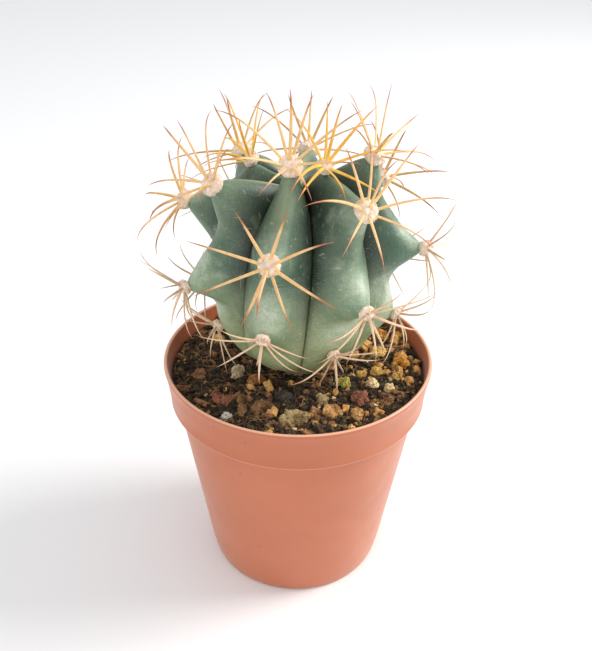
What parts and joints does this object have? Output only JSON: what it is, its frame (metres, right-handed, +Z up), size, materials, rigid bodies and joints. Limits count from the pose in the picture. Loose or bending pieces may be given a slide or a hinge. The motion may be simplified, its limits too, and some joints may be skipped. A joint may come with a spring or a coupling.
{
  "type": "potted round cactus",
  "caption": "Young round cactus with ribs, blunt tubercles and starry clusters of long curved spines, rooted in gritty potting mix in a small terracotta-coloured nursery pot.",
  "frame": {"origin": "centre of the pot's flat underside", "axes": "+Z up along the pot's axis, -Y towards the front, which is the side the picture shows, +X to the right as seen from the front"},
  "size_m": [0.0605, 0.061, 0.107],
  "materials": {
    "pot_plastic": "satin moulded, terracotta colour",
    "peat": "loose dark peat with fibres, matte",
    "stem_skin": "waxy blue-green skin, satin",
    "spine": "horn-like spines on felted wool",
    "pale_stone": "matte",
    "orange_bark": "rough bark",
    "brown_bark": "rough bark",
    "red_bark": "rough bark",
    "dark_bark": "rough bark",
    "khaki_stone": "matte",
    "amber_stone": "matte",
    "orange_stone": "matte",
    "pale_pumice": "rough, porous",
    "gold_pumice": "rough, porous",
    "green_pumice": "rough, porous",
    "perlite": "rough, porous"
  },
  "bodies": {
    "root": {"bark_chip_back": "brown_bark", "bark_chip_brown": "brown_bark", "bark_chip_dark": "dark_bark", "bark_chip_left": "brown_bark", "bark_chip_red": "red_bark", "bark_chunk_red": "red_bark", "bark_orange": "orange_bark", "bark_stick": "brown_bark", "pebble_amber_back": "amber_stone", "pebble_amber_front": "amber_stone", "pebble_amber_right": "amber_stone", "pebble_brown": "brown_bark", "pebble_khaki": "khaki_stone", "pebble_olive": "khaki_stone", "pebble_orange_back": "orange_stone", "pebble_orange_large": "orange_stone", "perlite_crumb": "perlite", "pot": "pot_plastic", "potting_mix": "peat", "pumice_back_left": "gold_pumice", "pumice_cluster": "gold_pumice", "pumice_cube_large": "pale_pumice", "pumice_cube_small": "pale_pumice", "pumice_gold_middle": "gold_pumice", "pumice_gold_right": "gold_pumice", "pumice_green": "green_pumice", "pumice_speck": "gold_pumice", "spines_rib1_high": "spine", "spines_rib1_low": "spine", "spines_rib1_middle": "spine", "spines_rib2_crown": "spine", "spines_rib2_high": "spine", "spines_rib2_low": "spine", "spines_rib2_middle": "spine", "spines_rib3_high": "spine", "spines_rib3_low": "spine", "spines_rib3_middle": "spine", "spines_rib4_high": "spine", "spines_rib4_middle": "spine", "spines_rib5_high": "spine", "spines_rib5_low": "spine", "spines_rib5_middle": "spine", "spines_rib6_high": "spine", "spines_rib6_low": "spine", "spines_rib6_middle": "spine", "spines_rib7_crown": "spine", "spines_rib7_high": "spine", "spines_rib7_middle": "spine", "spines_rib8_high": "spine", "spines_rib8_low": "spine", "spines_rib8_middle": "spine", "stem": "stem_skin", "stone_pale_drop": "pale_stone"}
  },
  "joints": []
}
